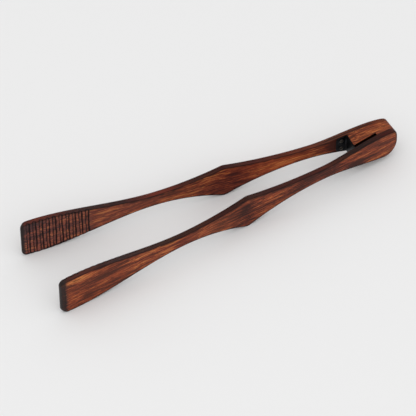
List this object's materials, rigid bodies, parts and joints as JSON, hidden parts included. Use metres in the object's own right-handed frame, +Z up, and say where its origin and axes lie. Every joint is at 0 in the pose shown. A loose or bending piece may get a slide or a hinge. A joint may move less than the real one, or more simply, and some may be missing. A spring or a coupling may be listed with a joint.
{
  "type": "kitchen tongs",
  "caption": "Wooden kitchen tongs: two flat arms with grooved tips and a pointed bulge, glued to a wedge at the butt and pushed apart by a bent steel leaf.",
  "frame": {"origin": "on the ground, under the middle of the tongs' box", "axes": "+X from the tips to the butt, +Y across the opening towards the rear arm, +Z up the width of the arms"},
  "size_m": [0.3, 0.0716, 0.0319],
  "materials": {
    "arm_wood": "oiled rosewood, satin, dark streaky grain along the arms",
    "core_wood": "oiled rosewood, satin, a little lighter and redder than the arms",
    "spring_steel": "blued spring steel, dark grey and slightly glossy",
    "screw_steel": "dull dark steel screws"
  },
  "bodies": {
    "butt": {"wedge_block": "core_wood", "spacer_strip": "core_wood", "leaf_spring": "spring_steel"},
    "front": {"front_arm": "arm_wood"},
    "rear": {"rear_arm": "arm_wood", "spring_screws": "screw_steel"}
  },
  "joints": [
    {"name": "front_arm_flex", "type": "hinge", "parent": "butt", "child": "front", "pos_m": [0.133, -0.00579, 0.0159], "axis": [0, 0, -1], "range_deg": [0, 6.33], "stiffness_Nm_per_rad": 14, "deforming": ["leaf_spring"]},
    {"name": "rear_arm_flex", "type": "hinge", "parent": "butt", "child": "rear", "pos_m": [0.1143, 0.00749, 0.0159], "axis": [0, 0, 1], "range_deg": [0, 6.78], "stiffness_Nm_per_rad": 14, "deforming": ["leaf_spring"]}
  ],
  "couplings": [
    {"joint": "rear_arm_flex", "follows": "front_arm_flex", "ratio": 1.0707}
  ]
}
